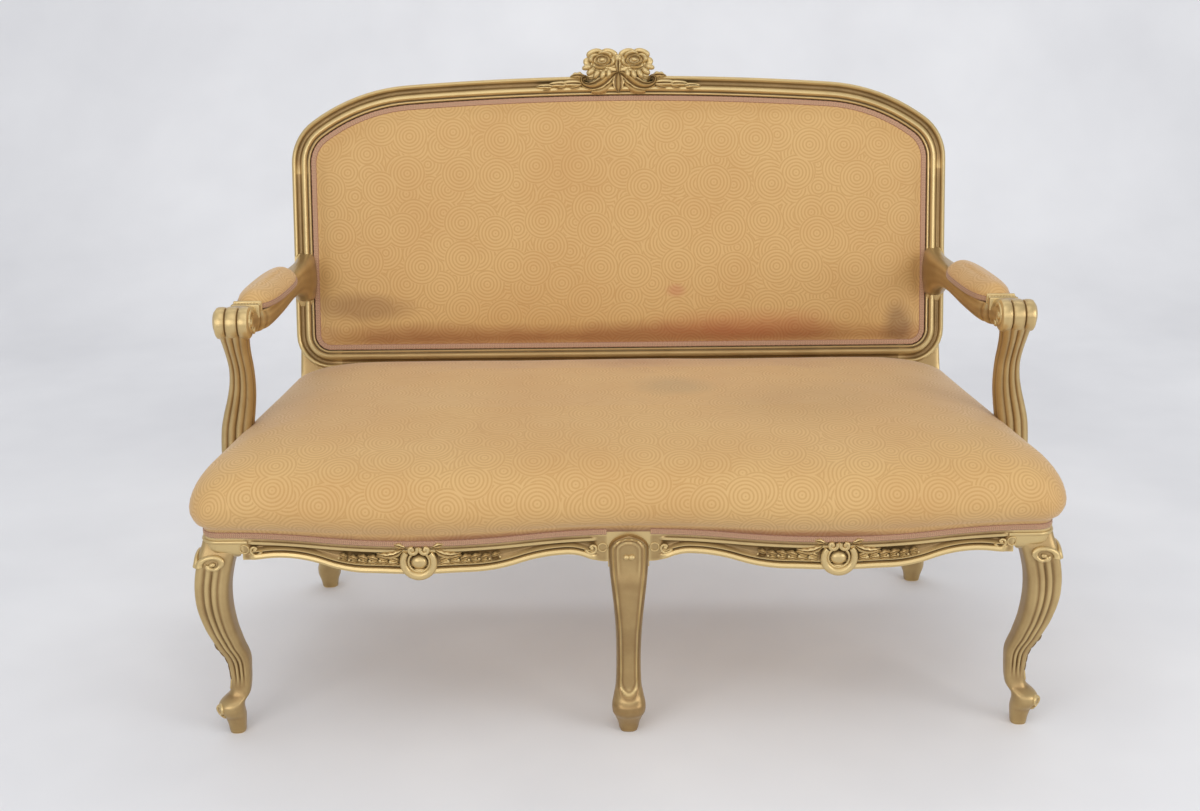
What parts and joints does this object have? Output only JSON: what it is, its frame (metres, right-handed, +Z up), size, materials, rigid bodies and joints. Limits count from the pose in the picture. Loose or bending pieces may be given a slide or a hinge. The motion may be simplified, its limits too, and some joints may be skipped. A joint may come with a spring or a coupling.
{
  "type": "cabriole sofa",
  "caption": "Gilt carved open-arm sofa for two in the Louis XV manner, on cabriole legs, with a padded seat, a padded raked back and padded arm rests.",
  "frame": {"origin": "on the floor under the middle of the overall box", "axes": "+X along the sofa to the right of a viewer in front of it, -Y to the front, +Z up; right and left in node names are that viewer's"},
  "size_m": [1.316, 0.73, 0.9998],
  "materials": {
    "gilt_wood": "gold paint and bronze powder over gesso on carved beech, rubbed, with a brown glaze in the hollows",
    "bare_beech": "planed beech, unfinished, darkened with age",
    "damask_cloth": "golden tan furnishing damask with a tone-on-tone pattern of concentric rings",
    "rose_braid": "dusty pink woven gimp with darker edges",
    "stuffing": "curled hair and cotton wadding",
    "jute_webbing": "jute webbing",
    "hessian": "hessian",
    "steel": "plain steel",
    "outer_cloth": "the same golden tan damask, stretched flat"
  },
  "bodies": {
    "root": {"back_top_rail": "gilt_wood", "back_bottom_rail": "gilt_wood", "rear_leg_and_stile_right": "gilt_wood", "rear_leg_and_stile_left": "gilt_wood", "crest_carving": "gilt_wood", "seat_rail_front_right": "gilt_wood", "seat_rail_front_left": "gilt_wood", "seat_rail_side_right": "gilt_wood", "seat_rail_side_left": "gilt_wood", "seat_rail_rear": "bare_beech", "front_leg_right": "gilt_wood", "front_leg_left": "gilt_wood", "front_leg_centre": "gilt_wood", "arm_right": "gilt_wood", "arm_left": "gilt_wood", "arm_support_right": "gilt_wood", "arm_support_left": "gilt_wood", "seat_brace": "bare_beech", "corner_block_front_right": "bare_beech", "corner_block_front_left": "bare_beech", "corner_block_rear_right": "bare_beech", "corner_block_rear_left": "bare_beech", "corner_block_screws": "steel", "arm_screws": "steel", "frame_dowels": "bare_beech", "seat_webbing": "jute_webbing", "seat_hessian": "hessian", "seat_stuffing": "stuffing", "seat_cover": "damask_cloth", "seat_braid": "rose_braid", "back_webbing": "jute_webbing", "back_stuffing": "stuffing", "back_cover": "damask_cloth", "back_braid": "rose_braid", "outer_back_cover": "outer_cloth", "arm_pad_stuffing_right": "stuffing", "arm_pad_stuffing_left": "stuffing", "arm_pad_cover_right": "damask_cloth", "arm_pad_cover_left": "damask_cloth", "arm_pad_braid_right": "rose_braid", "arm_pad_braid_left": "rose_braid"}
  },
  "joints": []
}
